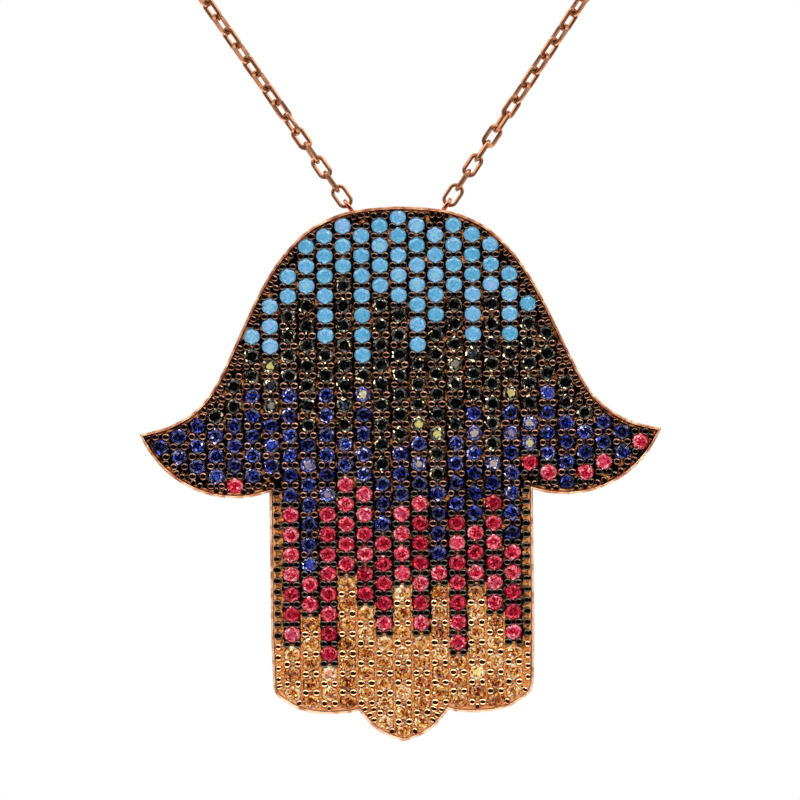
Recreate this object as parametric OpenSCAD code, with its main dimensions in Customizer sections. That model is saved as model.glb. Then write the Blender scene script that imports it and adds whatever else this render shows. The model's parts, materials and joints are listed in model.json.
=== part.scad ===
// Hamsa pendant on its necklace: an upside-down open hand of rose gold plate,
// paved with small round stones, on a fine cable chain.
// Millimetres. The pendant faces -Y, +Z is up, and the origin is where the
// chain's clasp rests at the nape of the neck.

/* [Hand plate] */
// Width from wing tip to wing tip
hand_w = 39.5; // [36:0.5:44]
// Height from the top of the dome to the middle tip
hand_h = 40.5; // [38:0.5:45]
// Thickness of the metal behind the stones' girdles
plate_t = 1.2; // [1:0.1:2]
// Width of the polished rim
rim_w = 0.2; // [0.15:0.05:0.3]
// Height of the rim above the blackened ground
rim_h = 0.2; // [0.1:0.05:0.3]

/* [Stones] */
// Girdle diameter of every stone
stone_d = 1.25; // [1.1:0.05:1.35]
// Table width as a percentage of the girdle
table_pc = 57; // [50:1:65]
// Height of the crown above the girdle
crown_h = 0.2; // [0.15:0.01:0.25]
// Depth of the pavilion below the girdle
pavilion_h = 0.52; // [0.45:0.01:0.6]
// Clearance between a stone and its drilled seat
seat_gap = 0.03; // [0.02:0.01:0.04]
// From the top and bottom edges to the first and last row of the pattern
row_margin = 0.67; // [0.6:0.01:0.9]
// From a wing tip to the outermost column of stones
col_margin = 1.57; // [1.4:0.01:1.9]

/* [Eyes and end links] */
// From the middle line to the wire of each end link
hang_x = 3.75; // [3:0.05:5]
// Outside diameter of a soldered eye
eye_d = 1.3; // [1.2:0.05:1.5]
// Wire of an eye
eye_wire = 0.32; // [0.28:0.02:0.36]
// How far an eye is let into the top edge
eye_sink = 0.23; // [0.15:0.01:0.3]
// Length of an end link
link_l = 2; // [1.8:0.1:2.6]
// Width of an end link
link_w = 1.25; // [1.15:0.05:1.5]
// Wire of an end link
link_wire = 0.28; // [0.24:0.02:0.32]
// Play between an end link and the eye it hangs in
link_play = 0.1; // [0.08:0.01:0.12]

/* [Chain and clasp] */
// Width of the cable chain
chain_w = 1.17; // [1:0.01:1.4]
// Gap between the chain and what it leads to
chain_gap = 0.05; // [0.03:0.01:0.1]
// How far the end links hang below the nape
drop = 113; // [108:1:120]
// How far the pendant hangs in front of the nape
reach = 108; // [104:1:114]
// Length of the barrel clasp
clasp_l = 8; // [6:0.5:9]
// Diameter of the barrel clasp
clasp_d = 3; // [2.4:0.1:3.6]
// Radius of the rounded ends of the barrel
clasp_round = 0.8; // [0.4:0.1:1]

/* [Hidden] */
rose_gold = "#c98a6b";

// Columns of stones, numbered from the middle one, each with its first row and
// then its stones from the top down: turquoise, black, blue, ruby, champagne.
COLUMN = 0; FIRST = 1; TURQUOISE = 2; BLUE = 4; RUBY = 5; LAST = 6;
columns = [
    [-13, 11, 0, 0, 1, 0, 0], [-12, 11, 0, 0, 2, 0, 0], [-11, 10, 0, 0, 3, 0, 0],
    [-10, 10, 0, 1, 3, 0, 0], [-9, 8, 0, 2, 3, 1, 0], [-8, 6, 1, 2, 5, 0, 0],
    [-7, 4, 3, 3, 3, 0, 0], [-6, 3, 2, 4, 6, 7, 3], [-5, 1, 3, 7, 7, 2, 5],
    [-4, 1, 6, 2, 6, 8, 2], [-3, 0, 3, 8, 2, 5, 7], [-2, 1, 7, 1, 5, 6, 5],
    [-1, 0, 4, 9, 3, 5, 5], [0, 0, 5, 7, 3, 4, 8], [1, 0, 7, 4, 3, 7, 5],
    [2, 1, 5, 8, 4, 1, 6], [3, 0, 4, 7, 4, 7, 3], [4, 1, 6, 3, 6, 3, 6],
    [5, 1, 3, 8, 2, 6, 5], [6, 3, 4, 3, 7, 5, 3], [7, 4, 1, 5, 2, 1, 0],
    [8, 6, 0, 3, 4, 1, 0], [9, 8, 0, 2, 4, 0, 0], [10, 10, 0, 1, 2, 1, 0],
    [11, 10, 0, 0, 2, 1, 0], [12, 11, 0, 0, 2, 0, 0], [13, 11, 0, 0, 0, 1, 0]];
outer_column = 13;
last_row = 26;
col_pitch = (hand_w / 2 - col_margin) / outer_column;
row_pitch = (hand_h - 2 * row_margin) / last_row;
// The last stones of these columns, on either side, sit in from the edge by a share of
// the free gap, and so does the first stone of the middle one
end_columns = [0, 3, 5];
end_shift = 0.55 * (row_pitch - stone_d);

// The right half of the outline: [share of half the width, share of the height down]
dome_and_wing = [
    [0, 0], [0.1, 0.0025], [0.2, 0.0097], [0.284, 0.025], [0.365, 0.0495],
    [0.451, 0.0935], [0.527, 0.151], [0.597, 0.22], [0.658, 0.284], [0.72, 0.341],
    [0.79, 0.3785], [0.871, 0.4025], [0.935, 0.413], [1, 0.42]];
palm_side = [[0.5045, 0.6], [0.5045, 0.8], [0.499, 0.893]];
palm_foot = [[0.499, 0.893], [0.486, 0.911], [0.45, 0.925], [0.4, 0.938], [0.34, 0.9455],
             [0.26, 0.947], [0.2, 0.945], [0.172, 0.941]];
middle_tip = [[0.172, 0.941], [0.122, 0.9705], [0.066, 0.9885], [0, 1]];
// The hollow under each wing is an arc that ends at the palm's top corner: its
// middle and radii in the same shares
under_wing_mid = [0.633, 0.3487];
under_wing_r = [0.3945, 0.193];
under_wing_from = 22;
under_wing_to = 109;
under_wing_steps = 17;
spline_steps = 3;

// The right strand from below the shoulder to the nape, from the origin
route = [[33.5, -100.6, -68.9], [40, -98.7, -59.3], [46, -95, -49.5], [51.5, -89, -40],
         [56, -80.5, -31], [59, -70, -23.5], [60.5, -58, -17], [60, -45, -11.5],
         [56.5, -32, -7], [50, -20.5, -4], [40.5, -11, -2], [29, -4.5, -0.5], [17, -1.2, 0]];
leg_rings = 1;
route_steps = 3;
tube_sides = 8;

hang = eye_d / 2 - eye_wire - link_wire / 2 - link_play;
pivot = [hang_x, -reach, -drop];
leg = route[0] - pivot;
leg_dir = leg / norm(leg);
fan = atan2(leg.x, leg.z);
link_turn = asin(leg_dir.x);
link_lean = atan2(-leg_dir.y, leg_dir.z);
eye_at = pivot - hang * [sin(fan), 0, cos(fan)];
edge_d = lookup(eye_at.x, spline(scaled(dome_and_wing), spline_steps));
hand_top = eye_at.z - eye_d / 2 + eye_sink + edge_d;
ring_mid = (eye_d - eye_wire) / 2;
clasp_end = clasp_l / 2 + eye_d - eye_wire;

// A curve through the points p, with n steps between neighbours
function spline(p, n) = concat(
    [for (i = [0:len(p) - 2], k = [0:n - 1])
        let (a = p[max(i - 1, 0)], b = p[i], c = p[i + 1], d = p[min(i + 2, len(p) - 1)], t = k / n)
        b + t * ((c - a) / 2 + t * ((a - 2.5 * b + 2 * c - d / 2) + t * (1.5 * (b - c) + (d - a) / 2)))],
    [p[len(p) - 1]]);

// Shares of half the width and of the height as millimetres
function scaled(p) = [for (q = p) [q.x * hand_w / 2, q.y * hand_h]];

// The scallop under the wing, in shares
function under_wing() = [for (k = [1:under_wing_steps])
    let (a = under_wing_from + (under_wing_to - under_wing_from) * k / under_wing_steps)
    [under_wing_mid.x + under_wing_r.x * cos(a), under_wing_mid.y + under_wing_r.y * sin(a)]];

// All of the right half, from the top of the dome round to the middle tip, Z down
function half_outline() = let (n = spline_steps) scaled(concat(
    spline(dome_and_wing, n), under_wing(), spline(palm_side, 1),
    [for (p = spline(palm_foot, n)) if (p.y > palm_foot[0].y) p],
    [for (p = spline(middle_tip, n)) if (p.y > middle_tip[0].y) p]));

// The whole outline, clockwise from the top of the dome, with Z up
function outline() = let (h = half_outline(), n = len(h)) concat(
    [for (p = h) [p.x, -p.y]],
    [for (i = [n - 2:-1:1]) [-h[i].x, -h[i].y]]);

// The same outline moved in by d, with its corners kept
function inset(p, d) = [for (i = [0:len(p) - 1])
    let (n = len(p), a = p[(i + n - 1) % n], b = p[i], c = p[(i + 1) % n],
         u = (b - a) / norm(b - a), v = (c - b) / norm(c - b),
         m = [u.y, -u.x], k = [v.y, -v.x])
    b + d * (m + k) / (1 + m * k)];

// Odd columns are staggered down by half a row
function stagger(c) = c[COLUMN] % 2 == 0 ? 0 : 0.5;

// Where the stone of row r in column c sits, from the top of the dome
function stone_at(c, r) =
    let (ends = search(abs(c[COLUMN]), end_columns) != [],
         last = c[FIRST] + total(c, TURQUOISE, LAST) - 1,
         shift = c[COLUMN] == 0 && r == 0 ? -end_shift : ends && r == last ? end_shift : 0)
    [c[COLUMN] * col_pitch, -row_margin - (r + stagger(c)) * row_pitch + shift];

// How many stones column c has of the colours from one to another
function total(c, from, to) = from > to ? 0 : c[from] + total(c, from + 1, to);

// The places of one colour's stones, or of all of them
function field(from, to) = [for (c = columns)
    let (before = total(c, TURQUOISE, from - 1), count = total(c, from, to))
    if (count > 0) for (k = [0:count - 1]) stone_at(c, c[FIRST] + before + k)];

// Carries 2D work in the plate's plane, drawn upwards, to the pendant facing -Y
module at_hand() translate([0, -reach, hand_top]) rotate([90, 0, 0]) children();

// Left pieces are the mirror of the right ones
module right_or_left(side) mirror([side == "left" ? 1 : 0, 0, 0]) children();

// A round wire ring lying flat round the Z axis
module ring(d, wire) rotate_extrude($fn = 32) translate([(d - wire) / 2, 0]) circle(d = wire, $fn = 24);

// The right eye stands on the top edge, edge-on to the front and in line with its strand
module eye() translate(eye_at) rotate([0, fan, 0]) rotate([0, 90, 0]) ring(eye_d, eye_wire);

module hand_plate() color(rose_gold) {
    at_hand() difference() {
        translate([0, 0, -plate_t / 2]) linear_extrude(plate_t + rim_h) polygon(outline());
        translate([0, 0, plate_t / 2]) linear_extrude(2 * rim_h) polygon(inset(outline(), rim_w));
        translate([0, 0, plate_t / 2 - pavilion_h - seat_gap])
            linear_extrude(pavilion_h + seat_gap + 2 * rim_h)
                for (p = field(TURQUOISE, LAST)) translate(p)
                    circle(d = stone_d + 2 * seat_gap, $fn = 24);
    }
    for (side = ["left", "right"]) right_or_left(side) eye();
}

// A round stone with a table, eight crown facets and eight pavilion facets
module stone() {
    sides = 8;
    corners = [for (k = [0:sides - 1]) [cos((k + 0.5) * 360 / sides), sin((k + 0.5) * 360 / sides)]];
    table = [for (p = corners) [p.x * stone_d / 2 * table_pc / 100, p.y * stone_d / 2 * table_pc / 100, crown_h]];
    girdle = [for (p = corners) [p.x * stone_d / 2, p.y * stone_d / 2, 0]];
    polyhedron(
        concat(table, girdle, [[0, 0, -pavilion_h]]),
        concat([[for (k = [sides - 1:-1:0]) k]],
            [for (k = [0:sides - 1]) let (n = (k + 1) % sides) [k, n, sides + n, sides + k]],
            [for (k = [0:sides - 1]) let (n = (k + 1) % sides) [sides + k, sides + n, 2 * sides]]));
}

module stones(kind) at_hand() for (p = field(kind, kind))
    translate([p.x, p.y, plate_t / 2]) stone();

module turquoise_stones() color("#7fb9d6") stones(TURQUOISE);

module blue_stones() color("#2f3f9e") stones(BLUE);

module ruby_stones() color("#c02850") stones(RUBY);

// An oval wire link standing on its lower wire, which is centred on the origin
module oval_link(length, width, wire) {
    r = (width - wire) / 2;
    run = length - width;
    translate([0, 0, r]) rotate([90, 0, 0]) {
        rotate([0, 0, 180]) rotate_extrude(angle = 180, $fn = 32)
            translate([r, 0]) circle(d = wire, $fn = 24);
        translate([0, run, 0]) rotate_extrude(angle = 180, $fn = 32)
            translate([r, 0]) circle(d = wire, $fn = 24);
        for (x = [-r, r]) translate([x, 0, 0]) rotate([-90, 0, 0]) cylinder(d = wire, h = run, $fn = 24);
    }
}

module end_link(side) color(rose_gold) right_or_left(side)
    translate(pivot) rotate([link_lean, 0, 0]) rotate([0, link_turn, 0])
        oval_link(link_l, link_w, link_wire);

// The ring of points of a round bar at point i of the path
function bar_ring(path, i, d) =
    let (a = path[max(i - 1, 0)], b = path[min(i + 1, len(path) - 1)],
         t = (b - a) / norm(b - a), s = cross([0, -1, 2], t), u = s / norm(s), v = cross(t, u))
    [for (k = [0:tube_sides - 1]) let (w = (k + 0.5) * 360 / tube_sides)
        path[i] + d / 2 * (cos(w) * u + sin(w) * v)];

// A bar of the chain's width, with flat ends, swept along the path
module bar(path, d) {
    n = tube_sides;
    last = len(path) - 1;
    polyhedron(
        [for (i = [0:last]) each bar_ring(path, i, d)],
        concat([[for (k = [0:n - 1]) k]], [[for (k = [n - 1:-1:0]) last * n + k]],
            [for (i = [0:last - 1], k = [0:n - 1]) let (m = (k + 1) % n)
                [i * n + k, (i + 1) * n + k, (i + 1) * n + m, i * n + m]]));
}

// One strand, from its end link up the straight leg and round the neck to the clasp
function strand_path() =
    let (start = pivot + leg_dir * (link_l - link_wire / 2 + chain_gap),
         end = [clasp_end + chain_gap, 0, 0])
    concat([for (k = [0:leg_rings - 1]) start + (route[0] - start) * k / leg_rings],
        spline(concat(route, [end]), route_steps));

module strand(side) color(rose_gold) right_or_left(side) bar(strand_path(), chain_w);

// A barrel clasp with rounded ends, held at each end by a ring the size of an eye
module clasp() color(rose_gold) {
    r = clasp_round;
    rotate([0, 90, 0]) rotate_extrude($fn = 48) intersection() {
        translate([0, -clasp_l / 2]) square([clasp_d / 2, clasp_l]);
        union() {
            translate([0, -clasp_l / 2]) square([clasp_d / 2 - r, clasp_l]);
            translate([0, -clasp_l / 2 + r]) square([clasp_d / 2, clasp_l - 2 * r]);
            for (z = [-1, 1]) translate([clasp_d / 2 - r, z * (clasp_l / 2 - r)]) circle(r, $fn = 32);
        }
    }
    for (x = [-1, 1]) translate([x * (clasp_l / 2 + ring_mid - eye_wire / 2), 0, 0]) ring(eye_d, eye_wire);
}

hand_plate();
turquoise_stones();
blue_stones();
ruby_stones();
end_link("left");  // end_link_left
end_link("right");  // end_link_right
strand("left");  // chain_left
strand("right");  // chain_right
clasp();
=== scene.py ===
import json
import math

import bpy
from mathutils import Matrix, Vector


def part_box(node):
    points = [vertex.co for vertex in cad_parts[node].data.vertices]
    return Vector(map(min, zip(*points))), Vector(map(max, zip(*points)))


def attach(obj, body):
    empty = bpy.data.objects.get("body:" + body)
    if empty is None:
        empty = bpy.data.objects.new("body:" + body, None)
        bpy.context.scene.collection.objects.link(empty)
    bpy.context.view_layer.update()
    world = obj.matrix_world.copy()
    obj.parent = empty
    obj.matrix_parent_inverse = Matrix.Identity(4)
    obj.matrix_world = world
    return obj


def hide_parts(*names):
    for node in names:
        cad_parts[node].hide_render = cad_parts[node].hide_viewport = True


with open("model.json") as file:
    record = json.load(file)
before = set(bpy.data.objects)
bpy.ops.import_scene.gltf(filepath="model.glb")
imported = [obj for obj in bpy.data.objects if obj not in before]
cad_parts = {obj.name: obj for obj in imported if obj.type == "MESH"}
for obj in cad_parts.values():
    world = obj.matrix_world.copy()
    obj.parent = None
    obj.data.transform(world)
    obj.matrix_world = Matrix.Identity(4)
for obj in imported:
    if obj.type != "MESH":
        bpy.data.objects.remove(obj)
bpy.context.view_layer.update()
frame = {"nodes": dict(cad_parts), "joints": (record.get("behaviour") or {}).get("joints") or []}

# A hamsa pendant of rose gold plate, paved with small round stones, on a fine cable
# chain. Metres. The pendant faces -Y, and the origin is at the nape of the neck.
MM = 0.001

# The hand. Its box comes from the frame, and its grid of stones follows the same sizes as
# the drilled seats. The hinge is the line through both eyes, and the plating starts a
# little below it.
plate_low, plate_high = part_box("hand_plate")
HAND_H = 40.5 * MM
RIM_H = 0.2 * MM
ROW_MARGIN = 0.67 * MM
COL_MARGIN = 1.57 * MM
LAST_ROW = 26
OUTER_COLUMN = 13
PLATED_FROM = 0.55 * MM
hand_w = plate_high.x - plate_low.x
hand_top = plate_low.z + HAND_H
ground_y = plate_low.y + RIM_H
hinge = Vector(frame["joints"][0]["pos_m"])
col_pitch = (hand_w / 2 - COL_MARGIN) / OUTER_COLUMN
row_pitch = (HAND_H - 2 * ROW_MARGIN) / LAST_ROW

# The cut of a stone
STONE_D = 1.25 * MM
TABLE_SHARE = 0.57
CROWN_H = 0.2 * MM
GIRDLE_H = 0.03 * MM
PAVILION_H = 0.5 * MM
CULET_R = 0.03 * MM

# What is seen of the facets below the crown: rings and sectors of small mirrors. The
# crown's own facets lean up to half of CROWN_TILT either way, as a slope. FAR_APART spreads
# the stones' and facets' own numbers out, so that no two get the same random draw.
CELL_RINGS = 4
CELL_SECTORS = 12
CROWN_TILT = 0.6
FAR_APART = 1000

# Columns of stones, numbered from the middle one, each with its first row and then how
# many of each kind it has from the top down, in the order of KINDS. The top stone of the
# middle column and the last stones of END_COLUMNS stand END_SHIFT nearer the others.
KINDS = ("turquoise", "black", "blue", "ruby", "champagne")
SLOTS = ("turquoise", "black_stone", "blue_stone", "ruby_stone", "champagne_stone")
COLUMNS = (
    (-13, 11, 0, 0, 1, 0, 0), (-12, 11, 0, 0, 2, 0, 0), (-11, 10, 0, 0, 3, 0, 0),
    (-10, 10, 0, 1, 3, 0, 0), (-9, 8, 0, 2, 3, 1, 0), (-8, 6, 1, 2, 5, 0, 0),
    (-7, 4, 3, 3, 3, 0, 0), (-6, 3, 2, 4, 6, 7, 3), (-5, 1, 3, 7, 7, 2, 5),
    (-4, 1, 6, 2, 6, 8, 2), (-3, 0, 3, 8, 2, 5, 7), (-2, 1, 7, 1, 5, 6, 5),
    (-1, 0, 4, 9, 3, 5, 5), (0, 0, 5, 7, 3, 4, 8), (1, 0, 7, 4, 3, 7, 5),
    (2, 1, 5, 8, 4, 1, 6), (3, 0, 4, 7, 4, 7, 3), (4, 1, 6, 3, 6, 3, 6),
    (5, 1, 3, 8, 2, 6, 5), (6, 3, 4, 3, 7, 5, 3), (7, 4, 1, 5, 2, 1, 0),
    (8, 6, 0, 3, 4, 1, 0), (9, 8, 0, 2, 4, 0, 0), (10, 10, 0, 1, 2, 1, 0),
    (11, 10, 0, 0, 2, 1, 0), (12, 11, 0, 0, 2, 0, 0), (13, 11, 0, 0, 0, 1, 0))
END_COLUMNS = (0, 3, 5)
END_SHIFT = 0.14 * MM
PALM_COLUMN = 7

# The grains of metal that hold the stones. A pair stands PAIR_REACH to the left and right
# of the middle between two stones, at least PAIR_EDGE inside the outline. The other grains
# have a share of their size. A plated grain is lower than a bare one.
GRAIN_D = 0.62 * MM
GRAIN_RISE = 0.02 * MM
LOW_GRAIN = 0.6
ROUND_GRAIN = 0.75
GRAIN_SIDES = 12
GRAIN_RINGS = 8
PAIR_REACH = 0.4 * MM
PAIR_EDGE = 0.42 * MM

# How black the plating is on a grain, from 0 to 1
PLATED = 0.85
HALF_PLATED = 0.6
THINLY_PLATED = 0.45
BARE = 0

# The grains in rows along the edge, where no stone fits. They are bare from the foot of the
# wings down, which is this far below the hinge.
EDGE_ROWS = (0.41 * MM, 0.92 * MM, 1.43 * MM)
EDGE_STEP = 0.06 * MM
EDGE_SLACK = 0.02 * MM
EDGE_GRAIN_SHARE = 0.82
EDGE_GRAIN_STRETCH = 1.25
GRAIN_TO_STONE = 0.83 * MM
GRAIN_TO_GRAIN = 0.5 * MM
WING_FOOT = 24 * MM

# The single line of grains down each side of the palm, from the top of the hand, and the
# smoky stretch of the gold that they stand on
PALM_GRAIN_X = 9.45 * MM
PALM_GRAIN_FROM = 21.6 * MM
PALM_GRAIN_PITCH = 0.83 * MM
PALM_GRAIN_SHARE = 0.95
PALM_GRAINS = 18
BLACK_PALM_GRAINS = 14
SMOKY_X = 8.95 * MM
SMOKY_MID = 27.3 * MM
SMOKY_REACH = 6.2 * MM

# The lip rubbed on the rim, the bevel cut inside it, and the rails between the columns.
# INSET is how far inside the outline a middle line lies, RISE how far it stands out, and
# RAIL_END how many rows a rail runs on past the shorter of its columns.
LIP_D = 0.2 * MM
LIP_INSET = 0.09 * MM
LIP_RISE = 0.05 * MM
BEVEL_D = 0.34 * MM
BEVEL_INSET = 0.27 * MM
BEVEL_RISE = 0.07 * MM
RAIL_D = 0.16 * MM
RAIL_END = 0.3
WIRE_SIDES = 8

# The chain. The end links hang in the soldered eyes, and the middle of each strand's first
# link is FIRST_LINK from there. Over TWIST_LINKS links at both ends it takes up its twist.
HANG_X = 3.75 * MM
FIRST_LINK = 2.255 * MM
LINK_L = 2.05 * MM
LINK_W = 1.2 * MM
LINK_WIRE = 0.355 * MM
LINK_PITCH = 1.35 * MM
LINK_TWIST = math.radians(45)
TWIST_LINKS = 6
LINK_SIDES = 16

# The wire of a link is cut with flat sides. It looks smooth where it bends by less than
# SHARP_EDGE, and so keeps the edges between these sides.
LINK_WIRE_SIDES = 6
SHARP_EDGE = math.radians(40)

# The right strand in millimetres, from its leg over the shoulder to the nape, and its last
# link, in the clasp's eye
ROUTE = ((33.5, -100.6, -68.9), (40, -98.7, -59.3), (46, -95, -49.5), (51.5, -89, -40),
         (56, -80.5, -31), (59, -70, -23.5), (60.5, -58, -17), (60, -45, -11.5),
         (56.5, -32, -7), (50, -20.5, -4), (40.5, -11, -2), (29, -4.5, -0.5), (17, -1.2, 0))
ROUTE_STEPS = 8
LAST_LINK = (5.33, -0.02, 0)

# The photograph's view: its middle, its width, its slight turn, and a long lens in
# millimetres
VIEW_MID = Vector((0, ground_y, -127.8 * MM))
VIEW_W = 60.6 * MM
VIEW_ROLL = math.radians(0.7)
LENS = 180
SENSOR = 36

# The floor, in metres
FLOOR_Z = -0.5
FLOOR_HALF = 1.6

# The kinds of node that come most often
MATHS = "ShaderNodeMath"
VECTOR_MATHS = "ShaderNodeVectorMath"
RANGE = "ShaderNodeMapRange"
RAMP = "ShaderNodeValToRGB"


def linear(code):
    """An sRGB hex colour as Blender's linear colour."""
    shares = [int(code[i:i + 2], 16) / 255 for i in (1, 3, 5)]
    return [c / 12.92 if c <= 0.04045 else ((c + 0.055) / 1.055) ** 2.4 for c in shares] + [1]


def add(tree, kind, inputs=(), stops=(), **settings):
    """Adds a node. Its inputs are given by name or in order. Each is a value, a socket to
    link, or a node whose first output is linked. A colour ramp also has stops, each a place
    and a hex colour or grey level.
    """
    node = tree.nodes.new(kind)
    for name, value in settings.items():
        setattr(node, name, value)
    if not isinstance(inputs, dict):
        inputs = dict(enumerate(inputs))
    for key, value in inputs.items():
        if isinstance(value, bpy.types.Node):
            value = value.outputs[0]
        if isinstance(value, bpy.types.NodeSocket):
            tree.links.new(value, node.inputs[key])
        else:
            node.inputs[key].default_value = value
    for i, (at, tone) in enumerate(stops):
        scale = node.color_ramp.elements
        stop = scale[i] if i < 2 else scale.new(at)
        stop.position = at
        stop.color = linear(tone) if isinstance(tone, str) else (tone, tone, tone, 1)
    return node


def place(x, depth):
    """A point on the ground of the hand, at this depth below its top."""
    return Vector((x, ground_y, hand_top - depth))


def stone_columns():
    """For each column its number and its stones as (kind, place), from the top down."""
    found = []
    for column, first, *counts in COLUMNS:
        kinds = [kind for kind, count in zip(KINDS, counts) for _ in range(count)]
        stones = []
        for row, kind in enumerate(kinds, first):
            depth = ROW_MARGIN + (row + column % 2 / 2) * row_pitch
            if column == 0 and row == 0:
                depth += END_SHIFT
            elif abs(column) in END_COLUMNS and row == first + len(kinds) - 1:
                depth -= END_SHIFT
            stones.append((kind, place(column * col_pitch, depth)))
        found.append((column, stones))
    return found


def outer_line():
    """The corners of the hand's outline, in order, read from the top face of its rim."""
    mesh = frame["nodes"]["hand_plate"].data
    # In rounded millimetres, so that the corners of loose triangles match
    corner = [tuple(round(c / MM, 3) for c in v.co) for v in mesh.vertices]
    front = round(plate_low.y / MM, 3)
    count = {}
    for face in mesh.polygons:
        at = [corner[i] for i in face.vertices]
        if all(abs(p[1] - front) < 0.002 for p in at):
            for a, b in zip(at, at[1:] + at[:1]):
                count[frozenset((a, b))] = count.get(frozenset((a, b)), 0) + 1
    near = {}
    for edge, times in count.items():
        if times == 1 and len(edge) == 2:
            a, b = edge
            near.setdefault(a, []).append(b)
            near.setdefault(b, []).append(a)
    line = [min(near)]
    while True:
        ways = [p for p in near[line[-1]] if p not in line[-2:]]
        if not ways or ways[0] == line[0]:
            break
        line.append(ways[0])
    line = [Vector((p[0] * MM, plate_low.y, p[2] * MM)) for p in line]
    turn = sum(a.x * b.z - b.x * a.z for a, b in zip(line, line[1:] + line[:1]))
    return line if turn > 0 else line[::-1]


def inset(line, distance):
    """The closed line moved in by a distance. It runs anticlockwise seen from the front."""
    moved = []
    for a, b, c in zip(line[-1:] + line[:-1], line, line[1:] + line[:1]):
        u, v = (b - a).normalized(), (c - b).normalized()
        m, k = Vector((-u.z, 0, u.x)), Vector((-v.z, 0, v.x))
        moved.append(b + distance * (m + k) / (1 + m.dot(k)))
    return moved


def to_line(point, line):
    """How far a point is inside the closed line, or less than 0 outside it."""
    best, inside = math.inf, False
    for a, b in zip(line, line[1:] + line[:1]):
        side = b - a
        share = max(0, min(1, (point - a).dot(side) / side.length_squared))
        gap = a + share * side - point
        best = min(best, math.hypot(gap.x, gap.z))
        if (a.z > point.z) != (b.z > point.z):
            cross = a.x + (point.z - a.z) / (b.z - a.z) * side.x
            inside ^= cross > point.x
    return best if inside else -best


def walk(line, step):
    """Points along the closed line, a step apart."""
    points = []
    for a, b in zip(line, line[1:] + line[:1]):
        n = max(1, round((b - a).length / step))
        points += [a.lerp(b, k / n) for k in range(n)]
    return points


def spline(points, steps):
    """A smooth curve through the points, with this many steps between neighbours."""
    made = []
    for i in range(len(points) - 1):
        a, b, c = points[max(i - 1, 0)], points[i], points[i + 1]
        d = points[min(i + 2, len(points) - 1)]
        for k in range(steps):
            t = k / steps
            made.append(b + t * ((c - a) / 2 + t * ((a - 2.5 * b + 2 * c - d / 2)
                                                    + t * (1.5 * (b - c) + (d - a) / 2))))
    return made + [points[-1]]


def far_enough(point, others, distance):
    """Whether the point is at least this far from all the others."""
    return all((point - other).length_squared > distance ** 2 for other in others)


def new_tree(name, numbers=(), counts=()):
    """A Geometry Nodes tree with named inputs, and the outputs that give them."""
    tree = bpy.data.node_groups.new(name, "GeometryNodeTree")
    face = tree.interface
    face.new_socket("Geometry", in_out="INPUT", socket_type="NodeSocketGeometry")
    face.new_socket("Geometry", in_out="OUTPUT", socket_type="NodeSocketGeometry")
    for label in numbers:
        face.new_socket(label, in_out="INPUT", socket_type="NodeSocketFloat")
    for label in counts:
        face.new_socket(label, in_out="INPUT", socket_type="NodeSocketInt")
    face.new_socket("Material", in_out="INPUT", socket_type="NodeSocketMaterial")
    return tree, add(tree, "NodeGroupInput").outputs


def end_tree(tree, given, made):
    """Realizes the instances, and gives the result its material."""
    real = add(tree, "GeometryNodeRealizeInstances", [made])
    finished = add(tree, "GeometryNodeSetMaterial", {
        "Geometry": real, "Material": given["Material"]})
    add(tree, "NodeGroupOutput", [finished])


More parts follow.
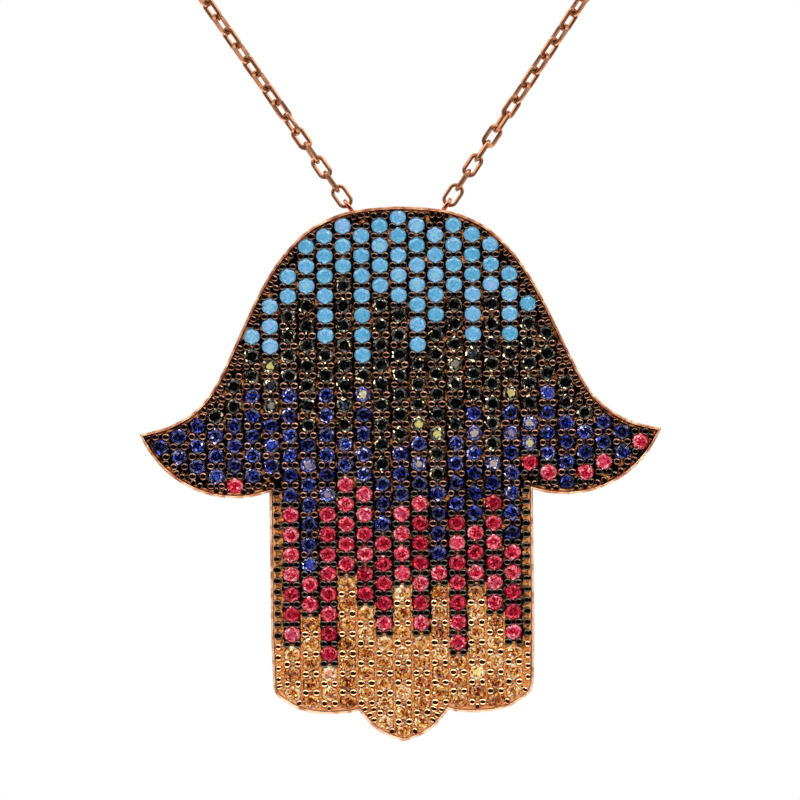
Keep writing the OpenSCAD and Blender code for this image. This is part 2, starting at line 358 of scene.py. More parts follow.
def brilliant_tree():
    """A round brilliant on each point: the hull of its table, crown, girdle and culet."""
    tree, given = new_tree("brilliant_stones", (
        "Table radius", "Crown height", "Middle radius", "Middle height",
        "Girdle radius", "Girdle height", "Pavilion depth", "Culet radius"), ("Seed",))
    girdle_foot = add(tree, MATHS, (given["Girdle height"], -1), operation="MULTIPLY")
    culet = add(tree, MATHS, (given["Pavilion depth"], -1), operation="MULTIPLY")
    join = add(tree, "GeometryNodeJoinGeometry")
    for corners, radius, height, turn in (
            (8, given["Table radius"], given["Crown height"], 0),
            (8, given["Middle radius"], given["Middle height"], math.pi / 8),
            (16, given["Girdle radius"], 0, 0),
            (16, given["Girdle radius"], girdle_foot, 0),
            (8, given["Culet radius"], culet, 0)):
        circle = add(tree, "GeometryNodeMeshCircle", {"Vertices": corners, "Radius": radius})
        lift = add(tree, "ShaderNodeCombineXYZ", {"Z": height})
        ring = add(tree, "GeometryNodeTransform", {
            "Geometry": circle, "Translation": lift, "Rotation": (0, 0, turn)})
        tree.links.new(ring.outputs[0], join.inputs[0])
    hull = add(tree, "GeometryNodeConvexHull", [join])
    shrink = add(tree, MATHS, (1, given["Girdle radius"]), operation="DIVIDE")
    # Where a point is in its stone, counted in girdle radii
    inside = add(tree, VECTOR_MATHS, {
        0: add(tree, "GeometryNodeInputPosition"), "Scale": shrink}, operation="SCALE")
    stone = add(tree, "GeometryNodeStoreNamedAttribute", {
        "Geometry": hull, "Name": "in_stone", "Value": inside}, data_type="FLOAT_VECTOR")

    angle = add(tree, "FunctionNodeRandomValue", {3: math.tau, "Seed": given["Seed"]})
    spin = add(tree, "FunctionNodeAxisAngleToRotation", {
        "Axis": (0, 0, 1), "Angle": angle.outputs[1]})
    facing = add(tree, "FunctionNodeRotateRotation", {
        "Rotation": (math.pi / 2, 0, 0), "Rotate By": spin}, rotation_space="LOCAL")
    set_in = add(tree, "GeometryNodeInstanceOnPoints", {
        "Points": given["Geometry"], "Instance": stone, "Rotation": facing})
    own = add(tree, "FunctionNodeRandomValue", {"Seed": given["Seed"]})
    told = add(tree, "GeometryNodeStoreNamedAttribute", {
        "Geometry": set_in, "Name": "stone", "Value": own.outputs[1]}, domain="INSTANCE")
    real = add(tree, "GeometryNodeRealizeInstances", [told])
    facet = add(tree, "FunctionNodeRandomValue", {"Seed": given["Seed"]})
    faceted = add(tree, "GeometryNodeStoreNamedAttribute", {
        "Geometry": real, "Name": "facet", "Value": facet.outputs[1]}, domain="FACE")
    end_tree(tree, given, faceted)
    return tree


def grain_tree():
    """A low round dome on each point, of the size, length and direction stored there. Each
    comes out a little uneven.
    """
    tree, given = new_tree("raised_grains", ("Diameter",), ("Sides", "Rings", "Seed"))
    share, stretch, height, turn = [
        add(tree, "GeometryNodeInputNamedAttribute", {"Name": name})
        for name in ("share", "stretch", "height", "turn")]
    radius = add(tree, MATHS, (given["Diameter"], 0.5), operation="MULTIPLY")
    ball = add(tree, "GeometryNodeMeshUVSphere", {
        "Segments": given["Sides"], "Rings": given["Rings"], "Radius": radius})
    long = add(tree, MATHS, (share, stretch), operation="MULTIPLY")
    high = add(tree, MATHS, (share, height), operation="MULTIPLY")
    shape = add(tree, "ShaderNodeCombineXYZ", (long, share, high))
    uneven = add(tree, "FunctionNodeRandomValue", {
        0: (0.9, 0.9, 0.9), 1: (1.1, 1.1, 1.1), "Seed": given["Seed"]}, data_type="FLOAT_VECTOR")
    size = add(tree, VECTOR_MATHS, (shape, uneven), operation="MULTIPLY")
    spin = add(tree, "FunctionNodeAxisAngleToRotation", {"Axis": (0, 0, 1), "Angle": turn})
    facing = add(tree, "FunctionNodeRotateRotation", {
        "Rotation": (math.pi / 2, 0, 0), "Rotate By": spin}, rotation_space="LOCAL")
    placed = add(tree, "GeometryNodeInstanceOnPoints", {
        "Points": given["Geometry"], "Instance": ball, "Rotation": facing, "Scale": size})
    real = add(tree, "GeometryNodeRealizeInstances", [placed])
    end_tree(tree, given, add(tree, "GeometryNodeSetShadeSmooth", [real]))
    return tree


def wire_tree():
    """A round wire along the edges of the mesh."""
    tree, given = new_tree("wire", ("Diameter",), ("Sides",))
    radius = add(tree, MATHS, (given["Diameter"], 0.5), operation="MULTIPLY")
    line = add(tree, "GeometryNodeMeshToCurve", [given["Geometry"]])
    profile = add(tree, "GeometryNodeCurvePrimitiveCircle", {
        "Resolution": given["Sides"], "Radius": radius})
    wire = add(tree, "GeometryNodeCurveToMesh", {
        "Curve": line, "Profile Curve": profile, "Fill Caps": True})
    end_tree(tree, given, add(tree, "GeometryNodeSetShadeSmooth", [wire]))
    return tree


def cable_tree():
    """Interlocking oval links along a line, each turned a quarter from its neighbours. The
    links near both ends lie square to the first, and the ones between turn a little more.
    """
    tree, given = new_tree("cable_chain", ("Length", "Width", "Wire", "Twist"),
                           ("Links", "Sides", "Wire sides"))
    across = add(tree, MATHS, (given["Width"], given["Wire"]), operation="SUBTRACT")
    bow = add(tree, MATHS, (across, 0.5), operation="MULTIPLY")
    straight = add(tree, MATHS, (given["Length"], given["Width"]), operation="SUBTRACT")
    stretch = add(tree, MATHS, (straight, 0.5), operation="MULTIPLY")
    circle = add(tree, "GeometryNodeCurvePrimitiveCircle", {
        "Resolution": given["Sides"], "Radius": bow})
    half_step = add(tree, MATHS, (math.pi, given["Sides"]), operation="DIVIDE")
    turn = add(tree, "ShaderNodeCombineXYZ", (math.pi / 2, half_step))
    upright = add(tree, "GeometryNodeTransform", {"Geometry": circle, "Rotation": turn})
    position = add(tree, "GeometryNodeInputPosition")
    height = add(tree, "ShaderNodeSeparateXYZ", [position]).outputs["Z"]
    up_or_down = add(tree, MATHS, [height], operation="SIGN")
    pull = add(tree, MATHS, (up_or_down, stretch), operation="MULTIPLY")
    offset = add(tree, "ShaderNodeCombineXYZ", {"Z": pull})
    oval = add(tree, "GeometryNodeSetPosition", {"Geometry": upright, "Offset": offset})
    thick = add(tree, MATHS, (given["Wire"], 0.5), operation="MULTIPLY")
    wire = add(tree, "GeometryNodeCurvePrimitiveCircle", {
        "Resolution": given["Wire sides"], "Radius": thick})
    link = add(tree, "GeometryNodeCurveToMesh", {"Curve": oval, "Profile Curve": wire})
    round_link = add(tree, "GeometryNodeSetShadeSmooth", [link])
    bend = add(tree, "GeometryNodeInputMeshEdgeAngle")
    soft = add(tree, "FunctionNodeCompare", (bend, SHARP_EDGE), operation="LESS_THAN")
    cut_link = add(tree, "GeometryNodeSetShadeSmooth", {
        "Geometry": round_link, "Shade Smooth": soft}, domain="EDGE")

    line = add(tree, "GeometryNodeMeshToCurve", [given["Geometry"]])
    points = add(tree, "GeometryNodeResampleCurve", {"Curve": line, "Count": given["Links"]})
    along = add(tree, "FunctionNodeAlignRotationToVector", {
        "Vector": add(tree, "GeometryNodeInputTangent")}, axis="Z")
    index = add(tree, "GeometryNodeInputIndex")
    from_end = add(tree, MATHS, (given["Links"], index), operation="SUBTRACT")
    nearest = add(tree, MATHS, (index, from_end), operation="MINIMUM")
    eased = add(tree, RANGE, (nearest, 1, TWIST_LINKS, 0, given["Twist"]))
    count = add(tree, MATHS, (index, 1), operation="ADD")
    quarters = add(tree, MATHS, (count, math.pi / 2), operation="MULTIPLY")
    angle = add(tree, MATHS, (quarters, eased), operation="ADD")
    twist = add(tree, "FunctionNodeAxisAngleToRotation", {"Axis": (0, 0, 1), "Angle": angle})
    turned = add(tree, "FunctionNodeRotateRotation", {
        "Rotation": along, "Rotate By": twist}, rotation_space="LOCAL")
    links = add(tree, "GeometryNodeInstanceOnPoints", {
        "Points": points, "Instance": cut_link, "Rotation": turned})
    end_tree(tree, given, links)
    return tree


def source_mesh(name, points, edges=(), **shares):
    """A mesh of points and edges for a tree to work on, with a number for each point."""
    mesh = bpy.data.meshes.new(name)
    mesh.from_pydata(points, edges, [])
    for label, values in shares.items():
        mesh.attributes.new(label, "FLOAT", "POINT").data.foreach_set("value", values)
    return mesh


def grow(source, tree, body, inputs):
    """Runs a tree on a source mesh and keeps what it makes as a piece with a plain mesh."""
    piece = bpy.data.objects.new(source.name, source)
    bpy.context.scene.collection.objects.link(piece)
    modifier = piece.modifiers.new(tree.name, "NODES")
    modifier.node_group = tree
    for item in tree.interface.items_tree:
        if item.name in inputs:
            modifier[item.identifier] = inputs[item.name]
    graph = bpy.context.evaluated_depsgraph_get()
    piece.data = bpy.data.meshes.new_from_object(
        piece.evaluated_get(graph), preserve_all_data_layers=True, depsgraph=graph)
    piece.modifiers.remove(modifier)
    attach(piece, body)
    return piece


def new_material(name):
    """An empty material, and its node tree."""
    material = bpy.data.materials.new(name)
    material.use_nodes = True
    material.node_tree.nodes.clear()
    return material, material.node_tree


def end_material(tree, inputs):
    """Adds the Principled shader with these inputs, and the output."""
    shader = add(tree, "ShaderNodeBsdfPrincipled", inputs)
    add(tree, "ShaderNodeOutputMaterial", {"Surface": shader})


# The metals, each from its deeper tone to its paler one. PATCH and RUBBING are the sizes
# of the deeper patches and the rubbing marks, and SMUDGE is how far the plating's edge
# wavers. Real milling is finer than MILLED_W, and wouldn't show in the render.
ROSE_GOLD = ("#bc7052", "#c47a5c")
WIRE_GOLD = ("#a06644", "#ae7652")
BLACK_RHODIUM = ("#18110d", "#4a3426")
PATCH = 4 * MM
RUBBING = 0.3 * MM
SMUDGE = 0.45 * MM
MILLED_L = 0.5 * MM
MILLED_W = 0.09 * MM
MILLED_TURN = math.radians(40)


def patches(tree, size, detail=2.0):
    """Numbers that waver round 0.5 over the piece, in patches of about this size."""
    at = add(tree, "ShaderNodeTexCoord").outputs["Object"]
    return add(tree, "ShaderNodeTexNoise", {"Vector": at, "Scale": 1 / size, "Detail": detail})


def rose_gold(name, tones, dullness, metallic):
    """Rose gold plate over silver. It mirrors the room in warm pink orange, a little deeper
    in some patches, and faint rubbing marks dull it here and there.
    """
    material, tree = new_material(name)
    tint = add(tree, RAMP, [patches(tree, PATCH)], ((0.3, tones[0]), (0.7, tones[1])))
    rub = add(tree, RAMP, [patches(tree, RUBBING, 4)], ((0.3, dullness[0]), (0.75, dullness[1])))
    end_material(tree, {"Base Color": tint, "Roughness": rub, "Metallic": metallic})
    return material


def rising(tree, top, foot, most):
    """A number that rises from 0 to most between two depths below the eyes."""
    at = add(tree, "ShaderNodeTexCoord").outputs["Object"]
    height = add(tree, "ShaderNodeSeparateXYZ", [at]).outputs["Z"]
    return add(tree, RANGE, (height, hinge.z - top, hinge.z - foot, 0, most))


def lip_with_painted_highlight():
    """The narrow lip along the rim, polished soft. Unlike the mirror finish beside it, it
    spreads the light, so that it looks peach even from the front. Its pale peach and cream
    tones are a painted highlight along the edge, painted palest down at the palm.
    """
    material, tree = new_material("rose_gold_lip_painted_highlight")
    painted_highlight_rise = rising(tree, 6 * MM, 34 * MM, 0.14)
    # Random patches of tone, plus the painted highlight that grows towards the palm
    worn = add(tree, MATHS, (patches(tree, 0.7 * MM, 3), painted_highlight_rise), operation="ADD")
    tint = add(tree, RAMP, [worn], ((0.38, "#9c5a40"), (0.55, "#d89468"), (0.68, "#ffdcb8")))
    rub = add(tree, RAMP, [worn], ((0.3, 0.24), (0.75, 0.36)))
    end_material(tree, {"Base Color": tint, "Roughness": rub, "Metallic": 0.4})
    return material


def cut_bevel():
    """The bevel cut inside the rim. The plating is thin on it, so that rose gold shows
    through the black in streaks. Below the wings it is all gold, with a softer sheen.
    """
    material, tree = new_material("bright_cut_bevel")
    most = 0.35
    bare = rising(tree, 21 * MM, 23 * MM, most)
    worn = add(tree, MATHS, (patches(tree, 0.5 * MM, 3), bare), operation="ADD")
    tint = add(tree, RAMP, [worn], ((0.4, "#20140c"), (0.5, "#904c20"), (0.75, "#f0a468")))
    rub = add(tree, RAMP, [worn], ((0.3, 0.2), (0.75, 0.32)))
    metallic = add(tree, RANGE, (bare, 0, most, 0.6, 0.1))
    end_material(tree, {"Base Color": tint, "Roughness": rub, "Metallic": metallic})
    return material


def plating_ends(columns):
    """Where the black plating ends below each column, as the stops of a ramp across the
    hand: the column's place and the height, both as shares. It ends above the champagne
    stones, or below the last stone where there are none. On the wings it has no end.
    """
    stops = []
    for column, stones in columns:
        champagne = [p.z for kind, p in stones if kind == "champagne"]
        if abs(column) > PALM_COLUMN:
            level = plate_low.z
        elif champagne:
            level = champagne[0] + row_pitch / 2
        else:
            level = stones[-1][1].z - 1.3 * row_pitch
        stops.append(((column + OUTER_COLUMN) / (2 * OUTER_COLUMN + 1),
                      (level - plate_low.z) / HAND_H))
    return stops


def black_plating(tree, columns, at):
    """How black the ground is, from 0 to 1. Its lower edge is smudged, bare patches show
    through it, and thin smoke lies on the gold down the sides of the palm.
    """
    half = (OUTER_COLUMN + 0.5) * col_pitch
    smudge = add(tree, RANGE, (patches(tree, 0.4 * MM, 3), 0, 1, -SMUDGE, SMUDGE))
    smudged = add(tree, MATHS, (at["X"], smudge), operation="ADD")
    across = add(tree, RANGE, (smudged, -half, half, 0, 1))
    ends = add(tree, RAMP, [across], plating_ends(columns))
    ends.color_ramp.interpolation = "CONSTANT"
    height = add(tree, RANGE, (at["Z"], plate_low.z, hand_top, 0, 1))
    above = add(tree, MATHS, (height, ends), operation="GREATER_THAN")
    whole = add(tree, RANGE, (patches(tree, 0.5 * MM, 3), 0.53, 0.68, 1, 0.15))
    plated = add(tree, MATHS, (above, whole), operation="MULTIPLY")

    from_middle = add(tree, MATHS, [at["X"]], operation="ABSOLUTE")
    beside = add(tree, MATHS, (from_middle, SMOKY_X), operation="GREATER_THAN")
    along = add(tree, MATHS, (at["Z"], hand_top - SMOKY_MID, SMOKY_REACH), operation="COMPARE")
    stretch = add(tree, MATHS, (beside, along), operation="MULTIPLY")
    smoke = add(tree, RANGE, (patches(tree, 0.25 * MM, 3), 0.42, 0.62, 0, 0.6))
    smoky = add(tree, MATHS, (stretch, smoke), operation="MULTIPLY")
    return add(tree, MATHS, (plated, smoky), operation="MAXIMUM")


def plate_finish(columns):
    """The hand's own metal: polished rose gold at its sides, back and rim, and on the
    ground between the stones black rhodium, which looks sooty and shows worn copper patches.
    Under the champagne stones, and along the sides of the palm, the ground stays rose gold,
    milled in fine slanting cuts that spread the light.
    """
    material, tree = new_material("rose_gold_and_black_rhodium_plate")
    coordinates = add(tree, "ShaderNodeTexCoord").outputs
    at = add(tree, "ShaderNodeSeparateXYZ", [coordinates["Object"]]).outputs
    # The ground is the lowered face of the front, and the plating starts below the eyes
    facing = add(tree, "ShaderNodeSeparateXYZ", [coordinates["Normal"]]).outputs["Y"]
    front = add(tree, MATHS, (facing, -0.3), operation="LESS_THAN")
    lowered = add(tree, MATHS, (at["Y"], ground_y, RIM_H * 0.6), operation="COMPARE")
    ground = add(tree, MATHS, (front, lowered), operation="MULTIPLY")
    below_eyes = add(tree, MATHS, (at["Z"], hinge.z - PLATED_FROM), operation="LESS_THAN")
    sunk = add(tree, MATHS, (ground, below_eyes), operation="MULTIPLY")
    black = add(tree, MATHS, (sunk, black_plating(tree, columns, at)), operation="MULTIPLY")

    slant = add(tree, "ShaderNodeMapping", {
        "Vector": coordinates["Object"], "Rotation": (0, MILLED_TURN, 0),
        "Scale": (1 / MILLED_L, 1 / MILLED_L, 1 / MILLED_W)})
    cuts = add(tree, "ShaderNodeTexNoise", {"Vector": slant, "Scale": 1})
    milled = add(tree, RAMP, [cuts], ((0.3, "#b04c14"), (0.5, "#f49048"), (0.7, "#ffcc88")))
    polished = add(tree, RAMP, [patches(tree, PATCH)],
                   ((0.3, ROSE_GOLD[0]), (0.7, ROSE_GOLD[1])))
    gold = add(tree, "ShaderNodeMix", {"Factor": sunk, 6: polished, 7: milled}, data_type="RGBA")
    soot = add(tree, RAMP, [patches(tree, 0.5 * MM, 3)],
               ((0.35, BLACK_RHODIUM[0]), (0.65, BLACK_RHODIUM[1])))
    colour = add(tree, "ShaderNodeMix", {
        "Factor": black, 6: gold.outputs[2], 7: soot}, data_type="RGBA")
    dull = add(tree, RANGE, (patches(tree, RUBBING, 4), 0, 1, 0.18, 0.3))
    milled_share = add(tree, MATHS, (sunk, black), operation="SUBTRACT")
    metallic = add(tree, RANGE, (milled_share, 0, 1, 1, 0.2))
    end_material(tree, {
        "Base Color": colour.outputs[2], "Roughness": dull, "Metallic": metallic})
    return material


def grain_finish():
    """Burnished grains. The tool that rounds them leaves a mirror, rose gold where the
    plating is left off, bronze where it is thin, and grey where it is whole.
    """
    material, tree = new_material("burnished_grains")
    plating = add(tree, "ShaderNodeAttribute", attribute_name="plating").outputs["Fac"]
    uneven = add(tree, RANGE, (patches(tree, 1 * MM), 0, 1, -0.35, 0.35))
    black = add(tree, MATHS, (plating, uneven), operation="ADD")
    tint = add(tree, RAMP, [black], (
        (0, "#f4c090"), (0.3, "#b08470"), (0.5, "#745446"), (0.8, "#5c564c"), (1, "#48443e")))
    rub = add(tree, RAMP, [patches(tree, 0.2 * MM)], ((0.3, 0.08), (0.7, 0.18)))
    end_material(tree, {"Base Color": tint, "Roughness": rub, "Metallic": 1})
    return material


def small_mirrors(tree, own, facet, at, radius):
    """A random number and direction for each small mirror that is seen below the crown. They
    lie in rings and sectors, and are cut up by the crown's facets.
    """
    rings = add(tree, MATHS, (radius, CELL_RINGS), operation="MULTIPLY")
    ring = add(tree, MATHS, [rings], operation="FLOOR")
    skew = add(tree, MATHS, (ring, math.pi / CELL_SECTORS), operation="MULTIPLY")
    angle = add(tree, MATHS, (at["Y"], at["X"]), operation="ARCTAN2")
    skewed = add(tree, MATHS, (angle, skew), operation="ADD")
    sectors = add(tree, MATHS, (skewed, CELL_SECTORS / math.tau), operation="MULTIPLY")
    sector = add(tree, MATHS, [sectors], operation="FLOOR")
    crown_facet = add(tree, MATHS, (own, facet), operation="ADD")
    apart = add(tree, MATHS, (crown_facet, FAR_APART), operation="MULTIPLY")
    cell = add(tree, "ShaderNodeCombineXYZ", (ring, sector, apart))
    return add(tree, "ShaderNodeTexWhiteNoise", {"Vector": cell}).outputs


def leaning(tree, direction, amount):
    """The surface's own normal, leaning by an amount towards a random direction."""
    swing = add(tree, VECTOR_MATHS, (direction, (0.5, 0.5, 0.5)), operation="SUBTRACT")
    facing = add(tree, "ShaderNodeNewGeometry").outputs["Normal"]
    leant = add(tree, VECTOR_MATHS, (swing, amount, facing), operation="MULTIPLY_ADD")
    return add(tree, VECTOR_MATHS, [leant], operation="NORMALIZE")


def stone_finish(name, ior, tones, painted_flash_tones, painted_flash_from, mirror, tilt, coat, coat_blur, painted_pale_rim, vary):
    """A faceted stone. The facets below are seen as small mirrors under the clear coat of the
    crown. Each leans by up to half the tilt and has a tone of its own, and mirror is how
    metallic it is. The darker tones are the stone's own colour, and the palest are painted
    glints. Whole stones differ in tone by vary, and the outer facets are painted paler, as
    painted light thrown back from inside. A few stones get a painted flash on their table:
    a painted reflection of a light, in a tone of its own.
    """
    material, tree = new_material(name)
    facet = add(tree, "ShaderNodeAttribute", attribute_name="facet").outputs["Fac"]
    own = add(tree, "ShaderNodeAttribute", attribute_name="stone").outputs["Fac"]
    inside = add(tree, "ShaderNodeAttribute", attribute_name="in_stone").outputs["Vector"]
    at = add(tree, "ShaderNodeSeparateXYZ", [inside]).outputs
    flat = add(tree, VECTOR_MATHS, (inside, (1, 1, 0)), operation="MULTIPLY")
    radius = add(tree, VECTOR_MATHS, [flat], operation="LENGTH").outputs["Value"]
    under = small_mirrors(tree, own, facet, at, radius)
    # The outer facets are painted paler: painted light thrown back from inside the stone
    painted_rim_lift = add(tree, MATHS, (radius, painted_pale_rim, -0.6 * painted_pale_rim), operation="MULTIPLY_ADD")
    from_usual = add(tree, MATHS, (own, 0.4), operation="SUBTRACT")
    varied = add(tree, MATHS, (from_usual, vary, under["Value"]), operation="MULTIPLY_ADD")
    level = add(tree, MATHS, (varied, painted_rim_lift), operation="ADD")
    # Dark and middle stops give the stone's own colour, the palest stops are painted glints
    tone = add(tree, RAMP, [level], tones)

    # A painted flash, standing for a reflection of a light, covers the middle of a few tables
    # and has a ragged edge
    table_foot = CROWN_H / (STONE_D / 2) * 0.99
    on_table = add(tree, MATHS, (at["Z"], table_foot), operation="GREATER_THAN")
    ragged = add(tree, MATHS, (under["Value"], 0.25, 0.32), operation="MULTIPLY_ADD")
    in_middle = add(tree, MATHS, (radius, ragged), operation="LESS_THAN")
    flash = add(tree, MATHS, (on_table, in_middle), operation="MULTIPLY")
    has_painted_flash = add(tree, MATHS, (own, painted_flash_from), operation="GREATER_THAN")
    shines = add(tree, MATHS, (flash, has_painted_flash), operation="MULTIPLY")
    # The painted flash's tone, one of a few for each kind of stone
    light = add(tree, RAMP, [own], [(painted_flash_from + (1 - painted_flash_from) * k / len(painted_flash_tones), tone_of)
                                    for k, tone_of in enumerate(painted_flash_tones)])
    light.color_ramp.interpolation = "CONSTANT"
    share = add(tree, MATHS, (shines, 0.8), operation="MULTIPLY")
    colour = add(tree, "ShaderNodeMix", {"Factor": share, 6: tone, 7: light}, data_type="RGBA")
    metallic = add(tree, RANGE, (shines, 0, 1, mirror, 0))

    # The coat over each facet of the crown leans as a whole, and stays flat over the table
    which = add(tree, "ShaderNodeCombineXYZ", (own, facet))
    apart = add(tree, VECTOR_MATHS, {0: which, "Scale": FAR_APART}, operation="SCALE")
    cut = add(tree, "ShaderNodeTexWhiteNoise", {"Vector": apart}).outputs["Color"]
    off_table = add(tree, MATHS, (on_table, -CROWN_TILT, CROWN_TILT), operation="MULTIPLY_ADD")
    end_material(tree, {
        "Base Color": colour.outputs[2], "Metallic": metallic, "Roughness": 0.15,
        "Normal": leaning(tree, under["Color"], (tilt, tilt, tilt)),
        "Coat Weight": coat, "Coat Roughness": coat_blur, "Coat IOR": ior,
        "Coat Normal": leaning(tree, cut, off_table)})
    return material


def stone_finishes():
    """The five kinds of stone. Cubic zirconia bends light at 2.15 and throws it back in hard
    glints. Black spinel, at 1.72, only mirrors. Turquoise, at 1.61, is opaque with a waxy
    gloss. In the zirconia and spinel the palest tones are painted glints, and for every
    kind the second list of tones is the painted flash on a few tables.
    """
    zirconia, spinel, turquoise = 2.15, 1.72, 1.61
    return {
        "turquoise": stone_finish(
            "opaque_turquoise", turquoise,
            ((0, "#4894b8"), (0.4, "#54a0c8"), (0.8, "#64a8cc"), (1, "#84acdc")),
            ("#80b8c8", "#8cacd8"), painted_flash_from=0.8,
            mirror=0, tilt=0.25, coat=0.7, coat_blur=0.1, painted_pale_rim=0, vary=0.6),
        "black": stone_finish(
            "black_spinel", spinel,
            ((0, "#020202"), (0.9, "#040404"), (0.92, "#84745c"), (1, "#fff0c0")),
            ("#d8cc78", "#24304c", "#8c8078", "#2c2c3c", "#d0c074"), painted_flash_from=0.86,
            mirror=0.9, tilt=0.9, coat=0.5, coat_blur=0.03, painted_pale_rim=0.75, vary=0.1),
        "blue": stone_finish(
            "sapphire_blue_zirconia", zirconia,
            ((0, "#02030c"), (0.62, "#06083c"), (0.88, "#0c20a8"), (0.97, "#3468f8"),
             (1, "#ccc8ff")),
            ("#d0c488", "#2840a8", "#907c90", "#2838a0", "#b4a494"), painted_flash_from=0.86,
            mirror=0.75, tilt=1, coat=0.28, coat_blur=0.03, painted_pale_rim=0.3, vary=0.3),
        "ruby": stone_finish(
            "ruby_zirconia", zirconia,
            ((0, "#48020c"), (0.35, "#a80428"), (0.7, "#d81438"), (0.93, "#f03c5c"),
             (1, "#ffa8b0")),
            ("#cc3458", "#f0b870", "#a83458"), painted_flash_from=0.9,
            mirror=0.35, tilt=0.8, coat=0.13, coat_blur=0.03, painted_pale_rim=0.35, vary=0.4),
        "champagne": stone_finish(
            "champagne_zirconia", zirconia,
            ((0, "#481004"), (0.32, "#9c380c"), (0.6, "#d88024"), (0.88, "#f8c864"),
             (1, "#fff4d0")),
            ("#d09078", "#f0dc88", "#c89088"), painted_flash_from=0.94,
            mirror=0.25, tilt=1, coat=0.35, coat_blur=0.03, painted_pale_rim=0.5, vary=0.45),
    }


def make_stones(columns):
    """One field of each kind of stone. Three of them stand for the fields in the frame."""
    tree = brilliant_tree()
    girdle, table = STONE_D / 2, STONE_D / 2 * TABLE_SHARE
    # The crown's middle corners stand a little above the straight line to the table
    middle = (girdle + table) / 2
    slope = (girdle - middle * math.cos(math.pi / 8)) / (girdle - table)
    sizes = {
        "Girdle radius": girdle, "Table radius": table, "Middle radius": middle,
        "Crown height": CROWN_H, "Middle height": CROWN_H * slope,
        "Girdle height": GIRDLE_H, "Pavilion depth": PAVILION_H, "Culet radius": CULET_R}
    finishes = stone_finishes()
    for seed, (kind, slot) in enumerate(zip(KINDS, SLOTS)):
        places = [p for _, stones in columns for own, p in stones if own == kind]
        piece = grow(source_mesh(kind + "_brilliants", places), tree, "pendant",
                     {**sizes, "Seed": seed, "Material": finishes[kind]})
        if kind + "_stones" in frame["nodes"]:
            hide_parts(kind + "_stones")


def plating_near(kinds):
    """How black the grains beside these kinds of stones are."""
    if "ruby" in kinds:
        return PLATED
    if "champagne" in kinds:
        return BARE
    return HALF_PLATED if "turquoise" in kinds else THINLY_PLATED


def stone_gaps(stones):
    """The places above, between and below a column's stones, and the kinds beside each."""
    kinds = [kind for kind, _ in stones]
    at = [p for _, p in stones]
    step = Vector((0, 0, row_pitch / 2))
    gaps = [(at[0] + step, kinds[:1])]
    gaps += [((a + b) / 2, kinds[i:i + 2]) for i, (a, b) in enumerate(zip(at, at[1:]))]
    gaps.append((at[-1] - step, kinds[-1:]))
    return gaps


def make_grains(columns, line):
    """The grains between the stones, in pairs, and the single ones down both sides of the
    palm and along the edge.
    """
    points, grains = [], []

    def raise_grain(p, black, share, stretch=1.0, turn=0.0):
        points.append(p - Vector((0, GRAIN_RISE, 0)))
        grains.append((black, share, stretch, turn, LOW_GRAIN if black else ROUND_GRAIN))

    for _, column in columns:
        for middle, beside in stone_gaps(column):
            for side in (-1, 1):
                spot = middle + Vector((side * PAIR_REACH, 0, 0))
                if to_line(spot, line) > PAIR_EDGE:
                    raise_grain(spot, plating_near(beside), 1)

    for side in (-1, 1):
        for k in range(PALM_GRAINS):
            raise_grain(place(side * PALM_GRAIN_X, PALM_GRAIN_FROM + k * PALM_GRAIN_PITCH),
                        PLATED if k < BLACK_PALM_GRAINS else BARE, PALM_GRAIN_SHARE)

    stones = [p for _, column in columns for _, p in column]
    placed = [Vector((p.x, ground_y, p.z)) for p in points]
    for distance in EDGE_ROWS:
        ring = walk(inset(line, distance), EDGE_STEP)
        for spot, after in zip(ring, ring[1:] + ring[:1]):
            spot = Vector((spot.x, ground_y, spot.z))
            if (to_line(spot, line) > distance - EDGE_SLACK
                    and far_enough(spot, stones, GRAIN_TO_STONE)
                    and far_enough(spot, placed, GRAIN_TO_GRAIN)):
                placed.append(spot)
                turn = math.atan2(after.z - spot.z, after.x - spot.x) + math.pi / 2
                raise_grain(spot, THINLY_PLATED if spot.z > hinge.z - WING_FOOT else BARE,
                            EDGE_GRAIN_SHARE, EDGE_GRAIN_STRETCH, turn)

    labels = ("plating", "share", "stretch", "turn", "height")
    source = source_mesh("grains", points, **dict(zip(labels, zip(*grains))))
    grow(source, grain_tree(), "pendant", {
        "Diameter": GRAIN_D, "Sides": GRAIN_SIDES, "Rings": GRAIN_RINGS,
        "Material": grain_finish()})


def joined(lines, closed=False):
    """All the points of some lines, and the edges between neighbours on each line."""
    points, edges = [], []
    for line in lines:
        first = len(points)
        points += line
        edges += [(i, i + 1) for i in range(first, len(points) - 1)]
        if closed:
            edges.append((len(points) - 1, first))
    return points, edges


def make_wires(columns, line, plate):
    """The lip on the rim, the bevel inside it, and the rails between the columns."""
    tree = wire_tree()
    lip = [p + Vector((0, LIP_D / 2 - LIP_RISE, 0)) for p in inset(line, LIP_INSET)]
    bevel = [Vector((p.x, ground_y + BEVEL_D / 2 - BEVEL_RISE, p.z))
             for p in inset(line, BEVEL_INSET)]
    rails = []
    for (column, left), (_, right) in zip(columns, columns[1:]):
        top = min(left[0][1].z, right[0][1].z) + row_pitch * RAIL_END
        foot = max(left[-1][1].z, right[-1][1].z) - row_pitch * RAIL_END
        x = (column + 0.5) * col_pitch
        rails.append([Vector((x, ground_y, top)), Vector((x, ground_y, foot))])
    for name, lines, closed, width, finish in (
            ("rim_lip", [lip], True, LIP_D, lip_with_painted_highlight()),
            ("bevel", [bevel], True, BEVEL_D, cut_bevel()),
            ("rails", rails, False, RAIL_D, plate)):
        grow(source_mesh(name, *joined(lines, closed)), tree, "pendant",
             {"Diameter": width, "Sides": WIRE_SIDES, "Material": finish})


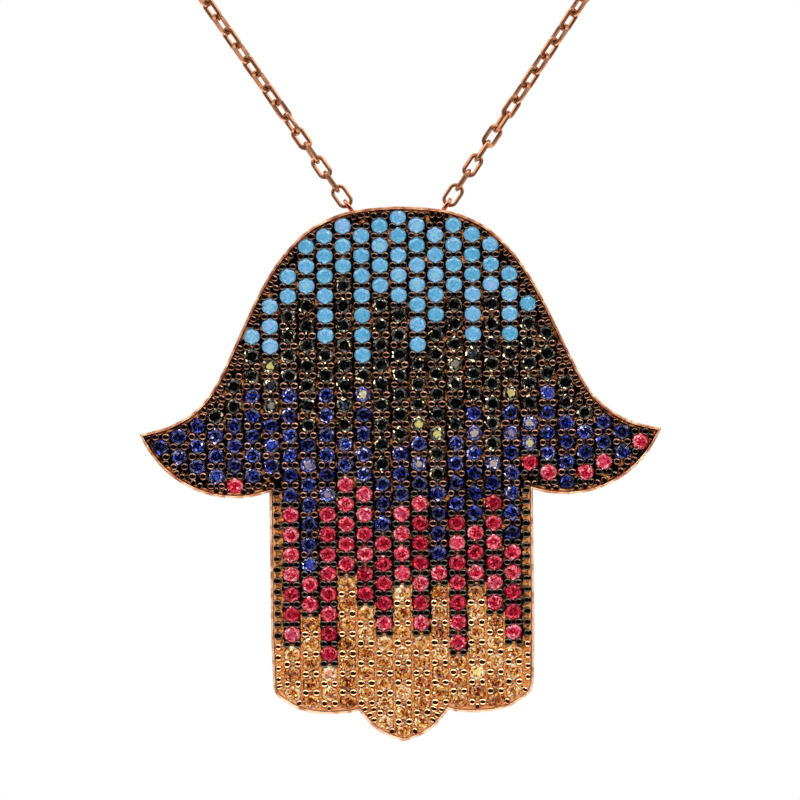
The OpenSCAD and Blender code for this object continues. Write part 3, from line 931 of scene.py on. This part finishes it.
def make_chain(metal):
    """Both strands, as links that pass through each other and through the end links."""
    tree = cable_tree()
    for side, sign in (("left", -1), ("right", 1)):
        mirrored = [Vector((sign * x, y, z)) * MM for x, y, z in ROUTE + (LAST_LINK,)]
        pivot = Vector((sign * HANG_X, hinge.y, hinge.z))
        start = pivot + (mirrored[0] - pivot).normalized() * FIRST_LINK
        path = [start] + spline(mirrored, ROUTE_STEPS)
        length = sum((b - a).length for a, b in zip(path, path[1:]))
        # The links come in pairs, so that the last one lies square to the first
        pairs = round((length / LINK_PITCH + 1) / 2)
        piece = grow(source_mesh(side + "_strand", *joined([path])), tree, "necklace",
                     {
                         "Length": LINK_L, "Width": LINK_W, "Wire": LINK_WIRE,
                         "Twist": LINK_TWIST, "Links": 2 * pairs, "Sides": LINK_SIDES,
                         "Wire sides": LINK_WIRE_SIDES, "Material": metal})
        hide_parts("chain_" + side)


def dress(node, material):
    """Gives a node of the frame this material in place of its own."""
    slots = frame["nodes"][node].data.materials
    slots.clear()
    slots.append(material)


def softbox(name, at, size, brightness):
    """A soft white lamp that faces the pendant, with its place from the view's middle."""
    data = bpy.data.lights.new(name, "AREA")
    data.shape = "RECTANGLE"
    data.size, data.size_y = size
    data.energy = brightness * math.pi * size[0] * size[1]
    lamp = bpy.data.objects.new(name, data)
    bpy.context.scene.collection.objects.link(lamp)
    lamp.location = VIEW_MID + Vector(at)
    lamp.rotation_euler = (-Vector(at)).to_track_quat("-Z", "Y").to_euler()
    return lamp


def make_room():
    """A room that the camera sees as plain white. Polished metal mirrors it: dark round the
    camera, with bright panels far above and below, dim ones at the far sides, and a pale
    back. A broad front lamp, which isn't mirrored, lights the dull surfaces.
    """
    world = bpy.data.worlds.new("room")
    bpy.context.scene.world = world
    world.use_nodes = True
    tree = world.node_tree
    tree.nodes.clear()
    toward = add(tree, "ShaderNodeTexCoord").outputs["Generated"]
    way = add(tree, "ShaderNodeSeparateXYZ", [toward]).outputs
    flat = add(tree, VECTOR_MATHS, (toward, (0.75, 0, 1)), operation="MULTIPLY")
    aside = add(tree, VECTOR_MATHS, [flat], operation="LENGTH").outputs["Value"]
    up_or_down = add(tree, MATHS, [way["Z"]], operation="SIGN")
    ring = add(tree, MATHS, (aside, up_or_down), operation="MULTIPLY")
    sideways = add(tree, MATHS, [way["X"]], operation="ABSOLUTE")
    # A little light all round, and then what grows from start to full for each part
    light = 0.02
    for value, start, full, brightness in (
            (way["Y"], 0, 0.4, 0.6),  # the back
            (sideways, 0.88, 0.98, 0.8),  # the far sides
            (ring, 0.72, 0.85, 4.2),  # the panel above
            (ring, 0.85, 0.96, -3.2),  # its dimmer upper part
            (ring, -0.73, -0.88, 2.9)):  # the panel below
        part = add(tree, RANGE, (value, start, full, 0, brightness),
                   interpolation_type="SMOOTHSTEP")
        light = add(tree, MATHS, (part, light), operation="ADD")
    seen = add(tree, "ShaderNodeLightPath").outputs["Is Camera Ray"]
    strength = add(tree, "ShaderNodeMix", {"Factor": seen, 2: light, 3: 1})
    sky = add(tree, "ShaderNodeBackground", {"Color": (1, 1, 1, 1), "Strength": strength})
    add(tree, "ShaderNodeOutputWorld", {"Surface": sky})
    softbox("key_softbox", (0.2, -0.32, 0.3), (0.1, 0.1), 8.0)
    softbox("front_fill", (0, -0.6, 0.25), (0.5, 0.5), 1.3).visible_glossy = False


def make_floor():
    """A floor in pale matt paint, far below. The photo's own view doesn't reach it."""
    mesh = bpy.data.meshes.new("floor")
    mesh.from_pydata([(x * FLOOR_HALF, y * FLOOR_HALF, FLOOR_Z)
                      for x, y in ((-1, -1), (1, -1), (1, 1), (-1, 1))], [], [(0, 1, 2, 3)])
    floor = bpy.data.objects.new("floor", mesh)
    bpy.context.scene.collection.objects.link(floor)
    material, tree = new_material("pale_floor")
    end_material(tree, {"Base Color": linear("#f4f2ee"), "Roughness": 0.8})
    mesh.materials.append(material)
    floor.visible_glossy = False


def make_camera():
    """The photograph's view: straight from the front through a long lens."""
    data = bpy.data.cameras.new("camera")
    data.lens = LENS
    data.sensor_width = SENSOR
    camera = bpy.data.objects.new("camera", data)
    bpy.context.scene.collection.objects.link(camera)
    away = VIEW_W * LENS / SENSOR
    camera.location = VIEW_MID - Vector((0, away, 0))
    camera.rotation_euler = (math.pi / 2, VIEW_ROLL, 0)
    bpy.context.scene.camera = camera


make_camera()
make_room()
make_floor()
bpy.context.scene.view_settings.view_transform = "Standard"
columns = stone_columns()
outline = outer_line()
# The clasp is polished, and the chain's wire is only tumbled, which leaves it duller
gold = rose_gold("polished_rose_gold", ROSE_GOLD, (0.14, 0.26), 0.85)
wire = rose_gold("tumbled_rose_gold_wire", WIRE_GOLD, (0.22, 0.34), 0.7)
plate = plate_finish(columns)
dress("hand_plate", plate)
dress("clasp", gold)
for node in ("end_link_left", "end_link_right"):
    dress(node, wire)
make_stones(columns)
make_grains(columns, outline)
make_wires(columns, outline, plate)
make_chain(wire)
